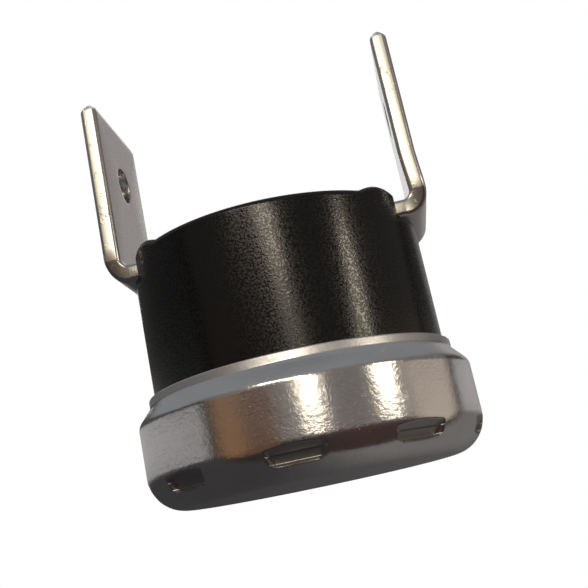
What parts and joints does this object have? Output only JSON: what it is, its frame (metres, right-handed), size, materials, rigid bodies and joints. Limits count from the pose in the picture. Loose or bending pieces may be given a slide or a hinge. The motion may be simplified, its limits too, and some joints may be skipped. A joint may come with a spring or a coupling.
{
  "type": "bimetal thermostat",
  "caption": "Round snap-disc temperature switch: aluminium heat cap crimped to a black moulded housing, upright push-on tabs, and an inner disc, pin and contacts that open on heat.",
  "frame": {"origin": "centre of the flat sensing face under the heat cap", "axes": "+Z along the switch's axis towards the tips of the tabs, tabs at -X and +X, their broad faces square to X"},
  "size_m": [0.0158, 0.0158, 0.0202],
  "materials": {
    "black_moulding": "moulded phenolic, fine grained, satin",
    "drawn_aluminium": "bright drawn sheet with fine handling marks",
    "bimetal": "rolled, satin",
    "brown_moulding": "moulded phenolic, matte",
    "ceramic": "ground ceramic rod",
    "plated_blade": "stamped and tin plated, satin",
    "rivet_brass": "turned brass, satin",
    "contact_silver": "silver, satin",
    "spring_bronze": "rolled bronze strip"
  },
  "bodies": {
    "base": {"housing": "black_moulding", "heat_cap": "drawn_aluminium", "bimetal_disc": "bimetal", "pin_guide": "brown_moulding", "left_terminal": "plated_blade", "right_terminal": "plated_blade", "left_rivet": "rivet_brass", "right_rivet": "rivet_brass", "contact_bracket": "rivet_brass", "fixed_contact": "contact_silver", "contact_spring": "spring_bronze"},
    "pin": {"transfer_pin": "ceramic"},
    "contact_tip": {"moving_contact": "contact_silver"}
  },
  "joints": [
    {"name": "pin_lift", "type": "slide", "parent": "base", "child": "pin", "axis": [0, 0, 1], "range_m": [0, 0.0003], "stiffness_N_per_m": 50, "deforming": ["bimetal_disc"]},
    {"name": "contact_swing", "type": "hinge", "parent": "base", "child": "contact_tip", "pos_m": [0.0019, 0, 0.0065], "axis": [0, 1, 0], "range_deg": [0, 9.1], "deforming": ["contact_spring"]}
  ],
  "couplings": [
    {"joint": "contact_swing", "follows": "pin_lift", "rad_per_m": 526.3}
  ]
}
